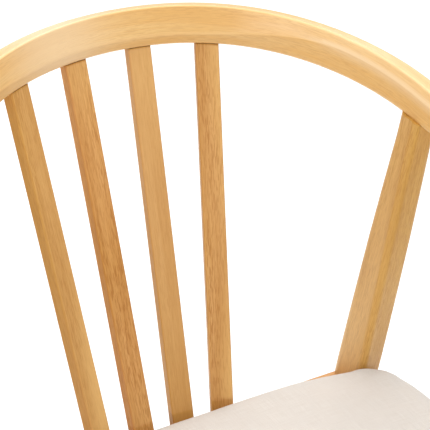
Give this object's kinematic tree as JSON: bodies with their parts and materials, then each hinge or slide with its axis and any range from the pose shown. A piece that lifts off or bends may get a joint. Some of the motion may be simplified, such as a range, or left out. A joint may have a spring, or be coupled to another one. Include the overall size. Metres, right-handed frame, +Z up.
{
  "type": "wooden armchair",
  "caption": "Armchair with a bent wooden rail that forms the back and both arms, flat upright slats, tapered leaning legs and a thin upholstered seat pad.",
  "frame": {"origin": "on the floor, in the middle of the chair's footprint", "axes": "+Z up, +X across the chair's width, -Y towards its front, +Y towards its back"},
  "size_m": [0.5494, 0.5562, 0.8008],
  "materials": {
    "rail_wood": "satin clear lacquer on pale rubberwood",
    "wood": "satin clear lacquer on honey-coloured rubberwood",
    "plywood": "raw plywood",
    "linen": "plain-woven cream linen",
    "foam": "polyurethane foam",
    "lining": "black non-woven lining",
    "steel": "zinc-plated",
    "glide": "moulded nylon"
  },
  "bodies": {
    "root": {"arm_dowel_1": "wood", "arm_dowel_2": "wood", "arm_dowel_3": "wood", "arm_dowel_4": "wood", "arm_left": "rail_wood", "arm_right": "rail_wood", "back_rail": "rail_wood", "corner_block_front_left": "wood", "corner_block_front_right": "wood", "corner_block_rear_left": "wood", "corner_block_rear_right": "wood", "corner_block_screw_1": "steel", "corner_block_screw_2": "steel", "corner_block_screw_3": "steel", "corner_block_screw_4": "steel", "corner_block_screw_5": "steel", "corner_block_screw_6": "steel", "corner_block_screw_7": "steel", "corner_block_screw_8": "steel", "dust_cover": "lining", "floor_glide_front_left": "glide", "floor_glide_front_right": "glide", "floor_glide_rear_left": "glide", "floor_glide_rear_right": "glide", "front_leg_left": "wood", "front_leg_right": "wood", "insert_nut_1": "steel", "insert_nut_2": "steel", "insert_nut_3": "steel", "insert_nut_4": "steel", "leg_bolt_1": "steel", "leg_bolt_2": "steel", "leg_bolt_3": "steel", "leg_bolt_4": "steel", "rear_leg_left": "wood", "rear_leg_right": "wood", "seat_board": "plywood", "seat_cover": "linen", "seat_foam": "foam", "seat_rail_front": "wood", "seat_rail_left": "wood", "seat_rail_rear": "wood", "seat_rail_right": "wood", "seat_screw_1": "steel", "seat_screw_2": "steel", "seat_screw_3": "steel", "seat_screw_4": "steel", "slat_1": "wood", "slat_2": "wood", "slat_3": "wood", "slat_4": "wood"}
  },
  "joints": []
}
